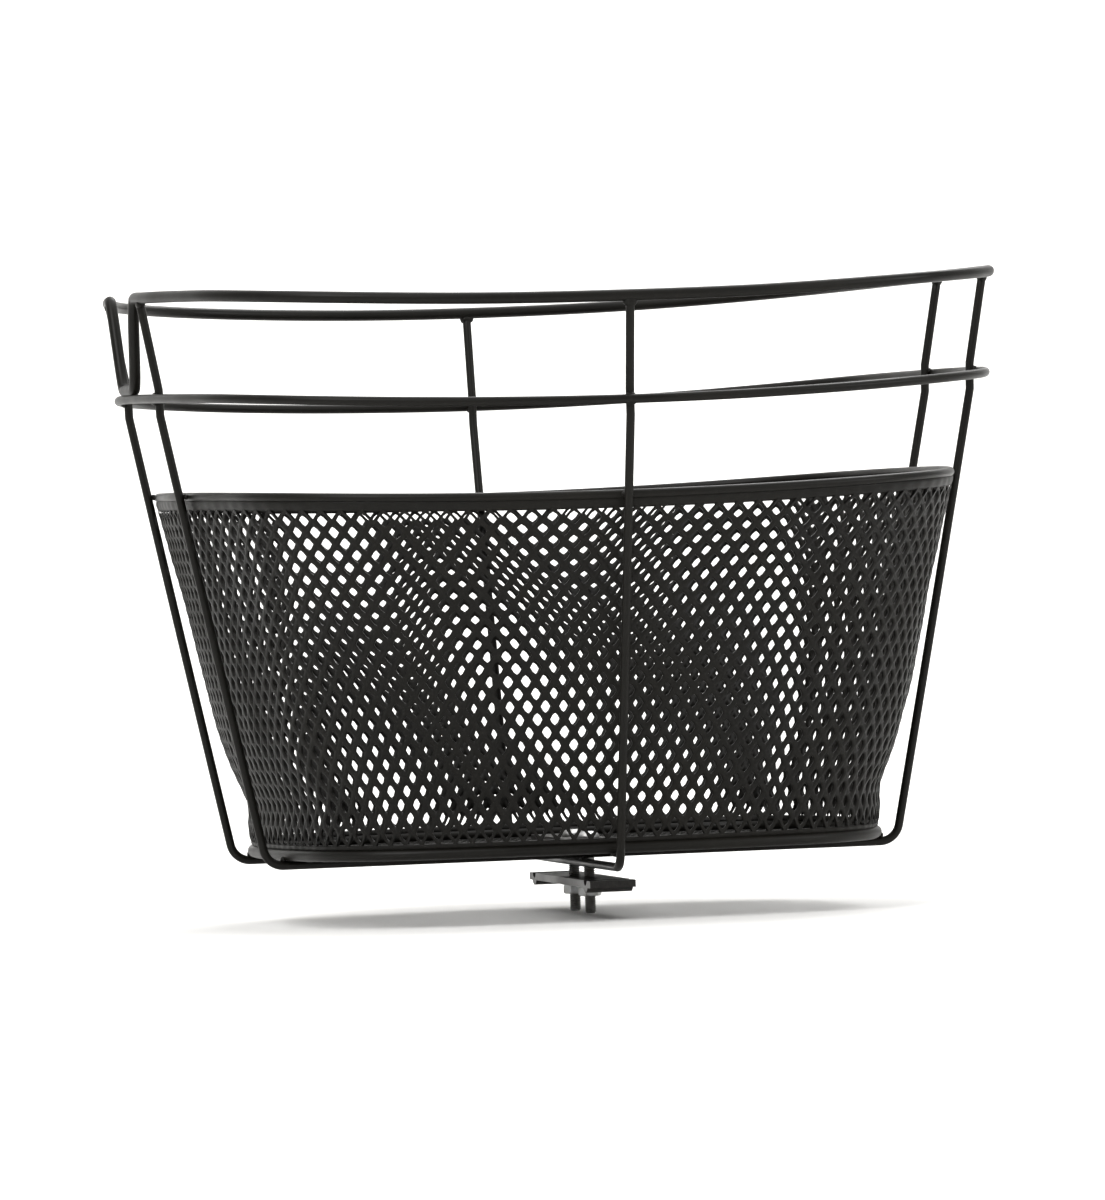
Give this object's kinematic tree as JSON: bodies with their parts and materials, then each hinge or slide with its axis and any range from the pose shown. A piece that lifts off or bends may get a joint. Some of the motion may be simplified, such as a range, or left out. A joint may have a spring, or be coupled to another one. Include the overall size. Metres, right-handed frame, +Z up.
{
  "type": "bicycle handlebar basket",
  "caption": "Tapered bicycle basket of black wire hoops and rings with an expanded-metal wall and floor and a bolted clamp bar for a front carrier.",
  "frame": {"origin": "seat plane under the middle of the floor, level with the underside of the cross hoop that rests on the carrier", "axes": "+X to the front of the basket and bicycle, +Y to its left side, +Z up"},
  "size_m": [0.3019, 0.314, 0.2198],
  "materials": {
    "powder_wire": "satin black powder coat on steel wire",
    "powder_mesh": "satin black powder coat on expanded steel sheet",
    "powder_bar": "satin black powder coat on flat steel",
    "zinc_steel": "zinc-plated steel, slightly dull"
  },
  "bodies": {
    "basket": {"rim_wire": "powder_wire", "mid_ring": "powder_wire", "mesh_top_ring": "powder_wire", "base_ring": "powder_wire", "cross_hoop": "powder_wire", "long_hoop_left": "powder_wire", "long_hoop_right": "powder_wire", "mesh_wall": "powder_mesh", "mesh_floor": "powder_mesh", "mesh_top_hem": "powder_mesh", "mesh_bottom_hem": "powder_mesh", "mesh_seam": "powder_mesh", "floor_plate": "powder_bar", "clamp_bolt_left": "zinc_steel", "clamp_bolt_right": "zinc_steel"},
    "clamp": {"clamp_bar": "powder_bar", "clamp_washer_left": "zinc_steel", "clamp_washer_right": "zinc_steel"},
    "nut_left": {"clamp_nut_left": "zinc_steel"},
    "nut_right": {"clamp_nut_right": "zinc_steel"}
  },
  "joints": [
    {"name": "clamp_slide", "type": "slide", "parent": "basket", "child": "clamp", "axis": [0, 0, -1], "range_m": [0, 0.003]},
    {"name": "nut_left_turn", "type": "hinge", "parent": "clamp", "child": "nut_left", "pos_m": [0.006, 0.014, -0.01], "axis": [0, 0, 1], "range_deg": [0, 1543]},
    {"name": "nut_right_turn", "type": "hinge", "parent": "clamp", "child": "nut_right", "pos_m": [0.006, -0.014, -0.01], "axis": [0, 0, 1], "range_deg": [0, 1543]}
  ],
  "couplings": [
    {"joint": "nut_left_turn", "follows": "clamp_slide", "rad_per_m": 8976},
    {"joint": "nut_right_turn", "follows": "clamp_slide", "rad_per_m": 8976}
  ]
}
